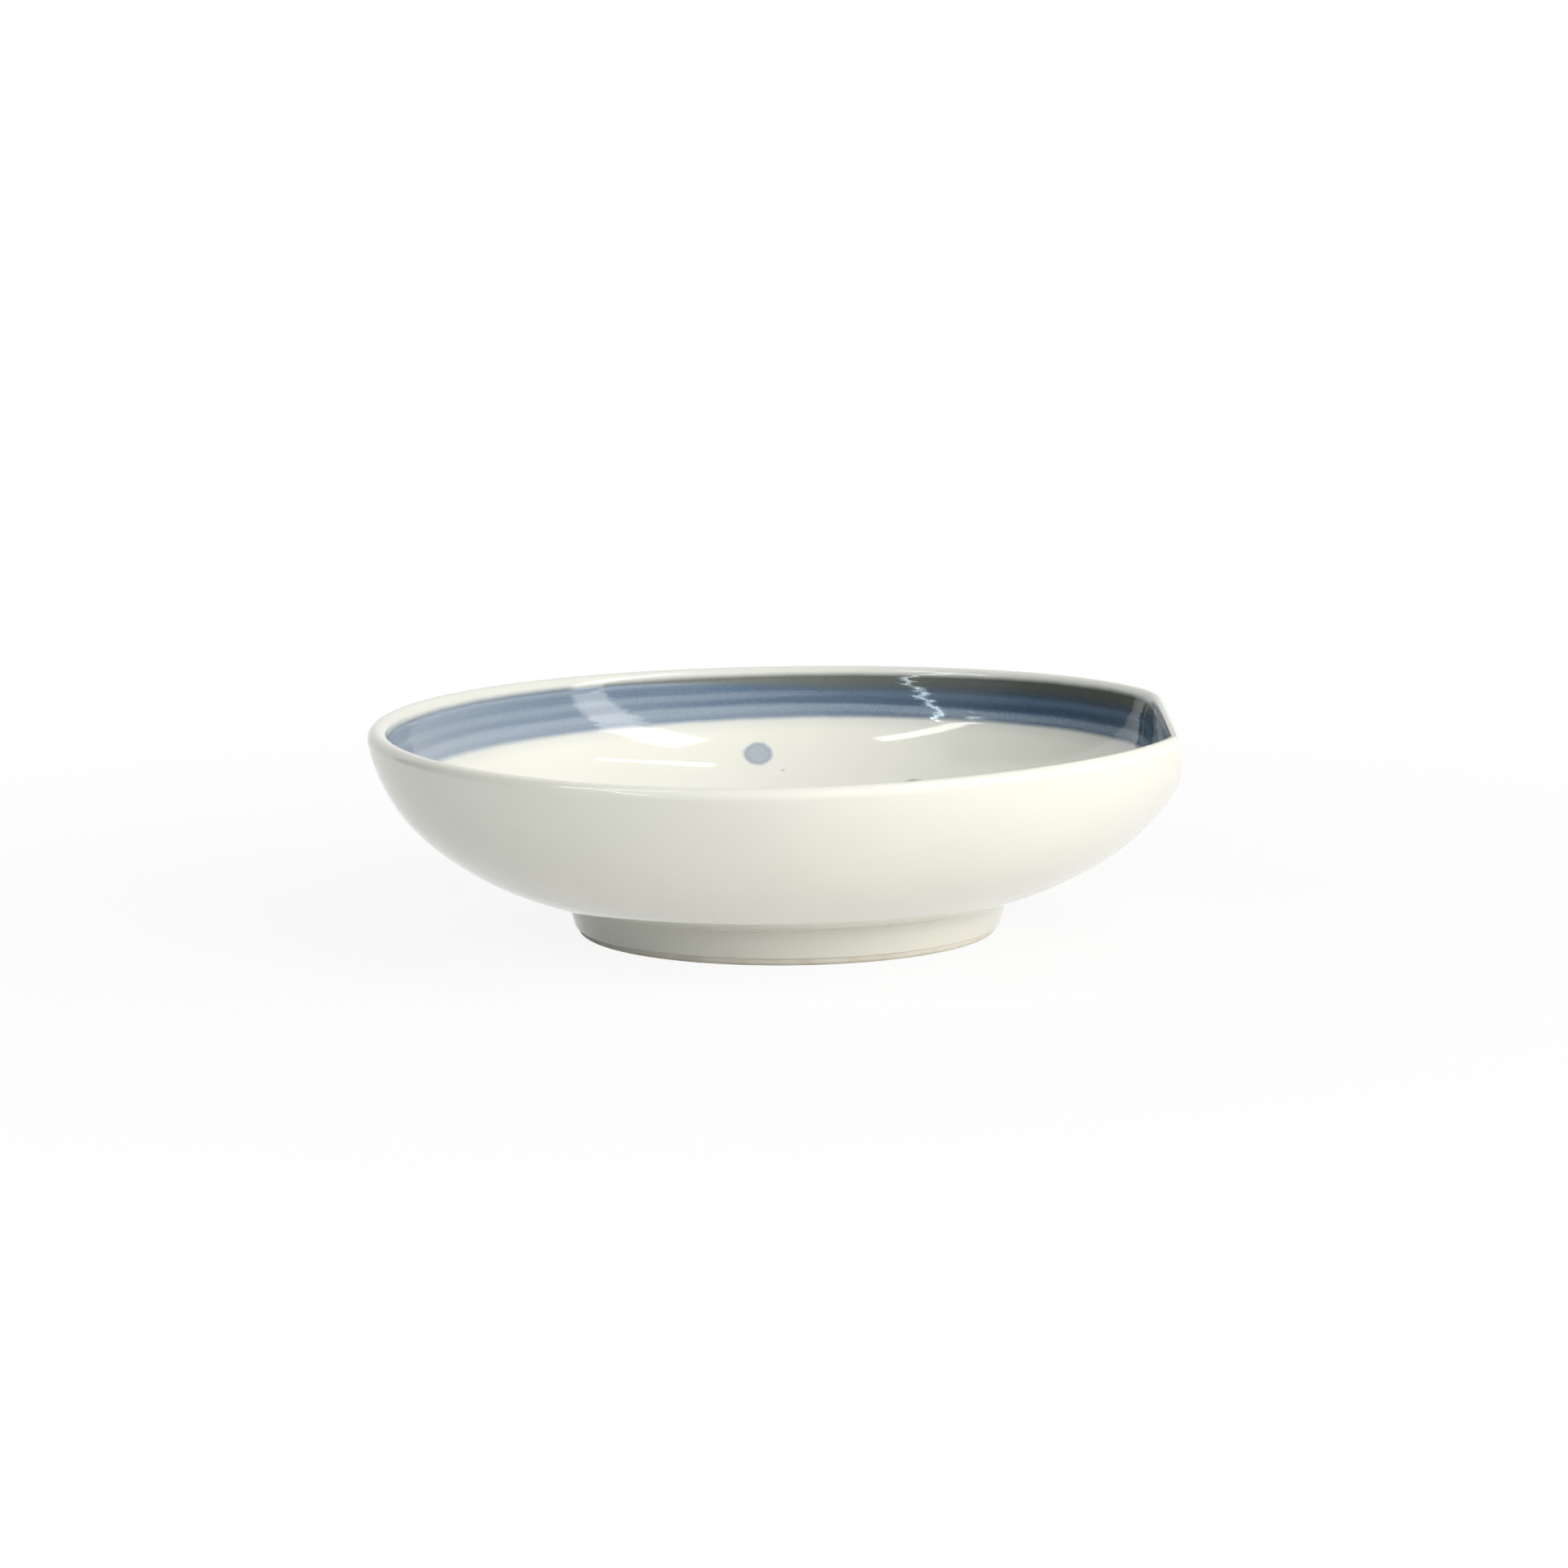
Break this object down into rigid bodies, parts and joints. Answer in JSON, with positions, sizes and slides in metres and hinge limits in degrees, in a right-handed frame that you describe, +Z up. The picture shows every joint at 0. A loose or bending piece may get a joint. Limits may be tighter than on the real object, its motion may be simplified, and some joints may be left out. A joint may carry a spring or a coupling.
{
  "type": "soy sauce dish",
  "caption": "Shallow round porcelain dish on a foot ring, one side of its rim pressed in straight, with a brushed blue band inside the rim and scattered blue dots.",
  "frame": {"origin": "on the table plane, under the middle of the dish's box; the round foot's middle is 1.6 mm to +X of it", "axes": "+Z up through the mouth, +X towards the pressed straight side of the rim, +Y away from the viewer of the picture"},
  "size_m": [0.0994, 0.1026, 0.0264],
  "materials": {
    "porcelain": "bare fired porcelain, matt, seen only on the standing edge of the foot",
    "clear_glaze": "glossy warm white glaze over porcelain, faintly grey where it pools",
    "band_blue": "glossy glaze over a brushed grey-blue band with fine horizontal strokes",
    "iron_brown": "glossy glaze over a thin olive-brown line that fades into the blue",
    "dot_blue": "glossy glaze over soft-edged pale blue dots"
  },
  "bodies": {
    "root": {"bowl_body": "porcelain", "foot_ring": "porcelain", "inside_glaze": "clear_glaze", "outside_glaze": "clear_glaze", "foot_glaze": "clear_glaze", "base_glaze": "clear_glaze", "blue_band": "band_blue", "brown_line": "iron_brown", "blue_dots": "dot_blue"}
  },
  "joints": []
}
